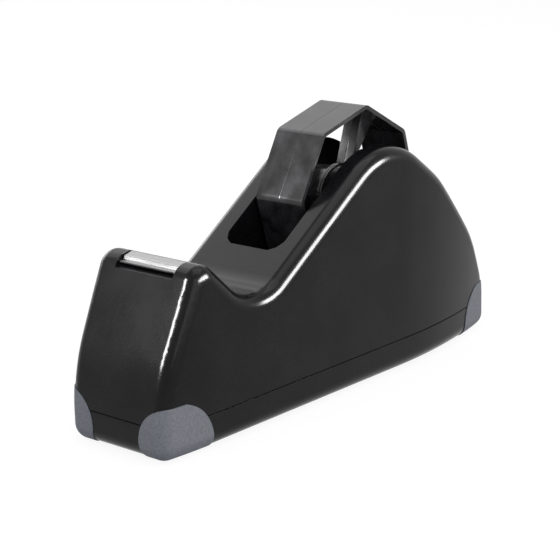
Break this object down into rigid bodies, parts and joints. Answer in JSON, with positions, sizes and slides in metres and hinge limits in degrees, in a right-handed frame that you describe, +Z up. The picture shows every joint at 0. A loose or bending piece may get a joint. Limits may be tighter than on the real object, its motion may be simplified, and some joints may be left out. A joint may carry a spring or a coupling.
{
  "type": "tape dispenser",
  "caption": "Weighted desk tape dispenser with a lift-out octagonal wheel for tape on a 76 mm core, a toothed steel cutter, a black moulded case and grey rubber corners",
  "frame": {"origin": "on the desk, under the middle of the dispenser's length and width", "axes": "+Z up, -X towards the cutter, +X towards the high rear, the tape wheel's axis along Y"},
  "size_m": [0.2168, 0.054, 0.1121],
  "materials": {
    "black_abs": "fine spark texture",
    "wheel_plastic": "smooth moulded",
    "grey_rubber": "matte",
    "blade_steel": "bright rolled",
    "axle_steel": "turned",
    "zinc_steel": "zinc plated",
    "ballast_iron": "as cast"
  },
  "bodies": {
    "case": {"top_cover": "black_abs", "base_tray": "black_abs", "case_screws": "zinc_steel", "front_ballast": "ballast_iron", "rear_ballast": "ballast_iron", "cutter_blade": "blade_steel", "front_left_bumper": "grey_rubber", "front_right_bumper": "grey_rubber", "rear_left_bumper": "grey_rubber", "rear_right_bumper": "grey_rubber"},
    "axle": {"axle": "axle_steel"},
    "wheel": {"tape_wheel": "wheel_plastic"}
  },
  "joints": [
    {"name": "axle_lift", "type": "slide", "parent": "case", "child": "axle", "axis": [0, 0, 1], "range_m": [0, 0.08]},
    {"name": "wheel_spin", "type": "hinge", "parent": "axle", "child": "wheel", "pos_m": [0.025, 0, 0.0745], "axis": [0, 1, 0], "continuous": true}
  ]
}
